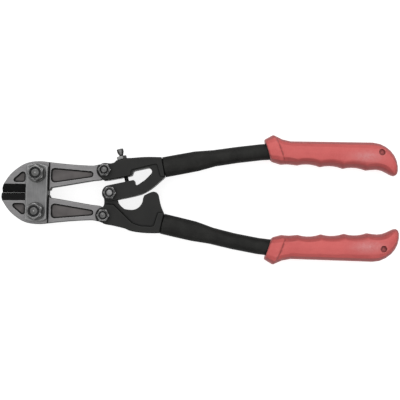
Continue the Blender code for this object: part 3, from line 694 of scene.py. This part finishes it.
def hex_nut(name, flats, low, hexagon_high, high, bore, pocket, collar):
    """Lock nut: chamfered hexagon below, turned collar above, rolled in over the insert's pocket."""
    corner = flats / sqrt(3.0)
    chamfer = corner - flats / 2
    shelf = high - 2.75
    profile = [(pocket, high - 0.35), (pocket + 0.15, high - 0.05), (pocket + 0.5, high),
               (collar - 0.7, high - 0.15), (collar - 0.2, high - 0.6), (collar, high - 1.1),
               (collar, hexagon_high), (flats / 2 + 0.05, hexagon_high - 0.02),
               (corner + 0.01, hexagon_high - chamfer * 0.58), (corner + 0.01, low + chamfer * 0.58),
               (flats / 2 - 0.1, low), (bore + 0.5, low), (bore, low + 0.5), (bore, shelf),
               (pocket, shelf)]
    nut = lathe(name, profile)
    combine(nut, hexagon(f"{name}_hexagon", flats, low - 1, high + 1), "INTERSECT")
    soft_edges(nut, 0.12)
    return nut


def hex_bolt(name, radius, flats, head_low, seat, tip):
    """Bolt seen from its tip: domed end, threaded shank and a chamfered hexagon head below the seat."""
    corner = flats / sqrt(3.0)
    chamfer = (corner - flats / 2) * 0.58
    head = lathe(name, [(0.0, seat), (flats / 2 - 0.05, seat), (corner + 0.01, seat - 0.25),
                        (corner + 0.01, head_low + chamfer), (flats / 2 - 0.15, head_low), (0.0, head_low)])
    combine(head, hexagon(f"{name}_hexagon", flats, head_low - 1, seat + 1), "INTERSECT")
    end = [(0.0, tip), (0.45, tip - 0.02), (0.65, tip - 0.12)]
    end += [(at, z - 0.12) for at, z in dome(radius - 0.45, tip, 0.50)[2:]]
    end += [(radius - 0.15, tip - 0.85), (radius - 0.05, tip - 1.15)]
    shank = lathe(f"{name}_shank", end + [(radius - 0.05, seat - 0.5), (0.0, seat - 0.5)])
    combine(head, shank, "UNION")
    soft_edges(head, 0.12)
    return head


def fastener(word, flats, radius, hexagon_part, pocket, collar):
    """One pivot's bolt, lock nut and insert."""
    bolt_node, nut_node, ring_node = f"{word}_bolt", f"{word}_nut", f"{word}_nut_insert"
    at = middle(ring_node)
    low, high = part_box(nut_node)
    turn = pi / 6 if high.x - low.x > high.y - low.y else 0.0
    here = Matrix.Translation((at.x, at.y, 0.0)) @ Matrix.Rotation(turn, 4, "Z")
    nut_low, nut_high = (z / MM for z in height(nut_node))
    head_low, tip = (z / MM for z in height(bolt_node))
    head_rise = HEAD_HEIGHT[radius]
    ring_low, ring_high = (z / MM for z in height(ring_node))

    bolt = hex_bolt(f"{bolt_node}_turned", radius, flats, head_low, head_low + head_rise, tip)
    nut = hex_nut(f"{nut_node}_turned", flats, nut_low, nut_low + hexagon_part, nut_high, radius + 0.12,
                  pocket, collar)
    inner, outer = radius + 0.1, pocket - 0.12
    ring = lathe(f"{ring_node}_turned", [(inner, ring_high - 0.45), (inner + 0.2, ring_high - 0.1),
                                         ((inner + outer) / 2, ring_high), (outer - 0.15, ring_high - 0.1),
                                         (outer, ring_high - 0.35), (outer, ring_low + 0.05),
                                         (inner, ring_low + 0.05)])
    shade(ring, 50.0)
    # Painted highlight: the sloping faces of the bolt and the nut take the lighter steel.
    highlight_slopes(bolt, END_STEEL[word], HIGHLIGHT_STEEL, 0.30, 0.60)
    if word in ("upper_jaw", "lower_jaw"):
        painted_glint(bolt, tip)
    highlight_slopes(nut, PLATED, HIGHLIGHT_STEEL, 0.30, 0.97)
    ring.data.materials.append(NYLON)
    for piece, node in ((bolt, bolt_node), (nut, nut_node), (ring, ring_node)):
        piece.data.transform(here)
        place(piece, node)


HEAD_HEIGHT = {4.0: 5.3, 3.0: 4.0}
END_STEEL = {"upper_jaw": DOMED, "lower_jaw": DOMED, "upper_pivot": PIVOT_END, "lower_pivot": PIVOT_END,
             "centre_pivot": CENTRE_END}


def painted_glint(bolt, tip):
    """A painted highlight: the bright point in the middle of a jaw bolt's domed end."""
    bolt.data.materials.append(CENTRE_END)
    for face in bolt.data.polygons:
        if face.center.z > (tip - 0.3) * MM and face.center.xy.length < 0.7 * MM:
            face.material_index = 2


def highlight_slopes(piece, flat, slope, low, high):
    """Painted highlight: sloping faces, whose normals rise between low and high, take the second material, a
    lighter copy of the first.
    """
    piece.data.materials.clear()
    piece.data.materials.append(flat)
    piece.data.materials.append(slope)
    for face in piece.data.polygons:
        face.material_index = int(low < abs(face.normal.z) < high)


def fasteners():
    for word in ("upper_jaw", "lower_jaw"):
        fastener(word, 13.0, 4.0, 6.0, 5.1, 6.0)
    for word in ("upper_pivot", "lower_pivot", "centre_pivot"):
        fastener(word, 10.0, 3.0, 4.6, 3.7, 4.6)


def washers():
    for node in ("upper_front_washer", "upper_rear_washer", "lower_front_washer", "lower_rear_washer"):
        low, high = (z / MM for z in height(node))
        at = middle(node)
        piece = lathe(f"{node}_turned", [(4.4, high - 0.15), (4.6, high), (7.9, high), (8.2, high - 0.3),
                                         (8.2, low + 0.2), (8.05, low), (4.4, low)])
        piece.data.transform(Matrix.Translation((at.x, at.y, 0.0)))
        piece.data.materials.append(PLATED)
        shade(piece, 30.0)
        place(piece, node)


# ---------------------------------------------------------------- adjusting screw and its lock nut
PITCH = 0.8                       # M5 thread
AXIS = Vector(JOINT["lock_nut_turn"]["axis"]).normalized()
NUT_AT = Vector(JOINT["lock_nut_turn"]["pos_m"])
JOINT_AT = 20.4                   # places along the axis from the clamp slot: the joint, then the pieces
NUT_LOW, NUT_HIGH = 18.4, 21.4
SCREW_LOW, NECK, HEAD_LOW, HEAD_TOP = -6.5, 22.6, 25.2, 28.0


def on_screw(piece):
    """Moves a piece built along Z, with zero at the clamp slot, onto the screw's axis."""
    turn = Vector((0, 0, 1)).rotation_difference(AXIS).to_matrix().to_4x4()
    piece.data.transform(Matrix.Translation(NUT_AT - AXIS * JOINT_AT * MM) @ turn)


def thread_radius(z, angle, ridge=2.0, depth=0.38):
    phase = (z / PITCH - angle / (2 * pi)) % 1.0
    return ridge - depth * (1.0 - abs(2.0 * phase - 1.0))


def threaded(name, low, high, sides=28, rows=7):
    """A threaded rod: rings whose radius follows the helix, with pointed ends."""
    body = bmesh.new()
    count = int((high - low) / PITCH * rows)
    rings = []
    for row in range(count + 1):
        z = low + (high - low) * row / count
        fade = min(1.0, (z - low) / 0.6 + 0.7)
        rings.append([body.verts.new((thread_radius(z, a) * fade * cos(a) * MM,
                                      thread_radius(z, a) * fade * sin(a) * MM, z * MM))
                      for a in (2 * pi * k / sides for k in range(sides))])
    for lower, upper in zip(rings, rings[1:]):
        for k in range(sides):
            after = (k + 1) % sides
            body.faces.new((lower[k], lower[after], upper[after], upper[k]))
    body.faces.new(list(reversed(rings[0])))
    body.faces.new(rings[-1])
    mesh = bpy.data.meshes.new(name)
    body.to_mesh(mesh)
    body.free()
    return link(name, mesh)


def adjusting_screw():
    """Socket-head screw: threaded where it shows, with a knurled head and a hexagon socket."""
    node = "adjusting_screw"
    screw = threaded(f"{node}_threaded", SCREW_LOW, NECK + 0.3)
    head = lathe("screw_head", [(0.0, HEAD_TOP), (2.6, HEAD_TOP), (2.95, HEAD_TOP - 0.35), (2.95, HEAD_LOW),
                                (1.95, NECK), (0.0, NECK)], sides=60)
    for vertex in head.data.vertices:
        if 2.9 * MM < vertex.co.xy.length:
            notch = 0.10 * (vertex.index % 2)
            vertex.co.xy *= 1.0 - notch / 2.95
    combine(head, hexagon("socket", 2.9, HEAD_TOP - 2.2, HEAD_TOP + 1), "DIFFERENCE")
    combine(screw, head, "UNION")
    shade(screw, 28.0)
    screw.data.materials.clear()
    screw.data.materials.append(SCREW_STEEL)
    on_screw(screw)
    place(screw, node)


def lock_nut():
    node = "lock_nut"
    flats, low, high = 8.0, NUT_LOW, NUT_HIGH
    corner = flats / sqrt(3.0)
    chamfer = (corner - flats / 2) * 0.58
    nut = lathe(f"{node}_turned", [(2.3, high - 0.3), (2.6, high), (flats / 2 - 0.1, high),
                                   (corner + 0.01, high - chamfer), (corner + 0.01, low + chamfer),
                                   (flats / 2 - 0.1, low), (2.6, low), (2.3, low + 0.3)])
    combine(nut, hexagon("lock_nut_hexagon", flats, low - 1, high + 1), "INTERSECT")
    soft_edges(nut, 0.12)
    nut.data.transform(Matrix.Rotation(pi / 6, 4, "Z"))
    nut.data.materials.clear()
    nut.data.materials.append(LOCK_STEEL)
    on_screw(nut)
    place(nut, node)


# ---------------------------------------------------------------- floor, light and camera
def studio():
    mesh = bpy.data.meshes.new("floor")
    half = 3.0
    corners = [(-half, -half, 0), (half, -half, 0), (half, half, 0), (-half, half, 0)]
    mesh.from_pydata(corners, [], [(0, 1, 2, 3)])
    floor = link("floor", mesh)
    floor.location.z = -0.0002
    mesh.materials.append(pale_floor())

    world = bpy.data.worlds.new("studio")
    world.use_nodes = True
    background = world.node_tree.nodes["Background"]
    background.inputs["Color"].default_value = (1.0, 1.0, 1.0, 1.0)
    background.inputs["Strength"].default_value = WORLD_LIGHT
    bpy.context.scene.world = world
    for name, at, size, power in SOFTBOXES:
        lamp = bpy.data.lights.new(name, "AREA")
        lamp.size = size
        lamp.energy = power
        holder = bpy.data.objects.new(name, lamp)
        holder.location = at
        holder.rotation_euler = (-Vector(at)).to_track_quat("-Z", "Y").to_euler()
        bpy.context.scene.collection.objects.link(holder)
    bpy.context.scene.view_settings.view_transform = "Standard"


WORLD_LIGHT = 0.24
SOFTBOXES = (                    # name, place, size, watts
    ("overhead", (-0.1, 0.30, 1.6), 3.4, 40.0),
    ("key", (-0.3, 0.9, 1.2), 0.4, 2.2),
)


def camera():
    lens = bpy.data.cameras.new("camera")
    holder = bpy.data.objects.new("camera", lens)
    bpy.context.scene.collection.objects.link(holder)
    forward = -EYE_OFF.normalized()
    right = forward.cross(Vector((-sin(ROLL), cos(ROLL), 0.0))).normalized()
    up = right.cross(forward)
    turn = Matrix((right, up, -forward)).transposed()
    holder.matrix_world = Matrix.Translation(AIM + EYE_OFF) @ turn.to_4x4()
    lens.sensor_width = SENSOR
    lens.lens = SENSOR * EYE_OFF.length / VIEW_WIDTH
    lens.clip_start = 0.05
    bpy.context.scene.camera = holder


camera()
studio()
jaw("upper_jaw", 1)
jaw("lower_jaw", -1)
straps()
castings()
tubes()
grips()
fasteners()
washers()
adjusting_screw()
lock_nut()
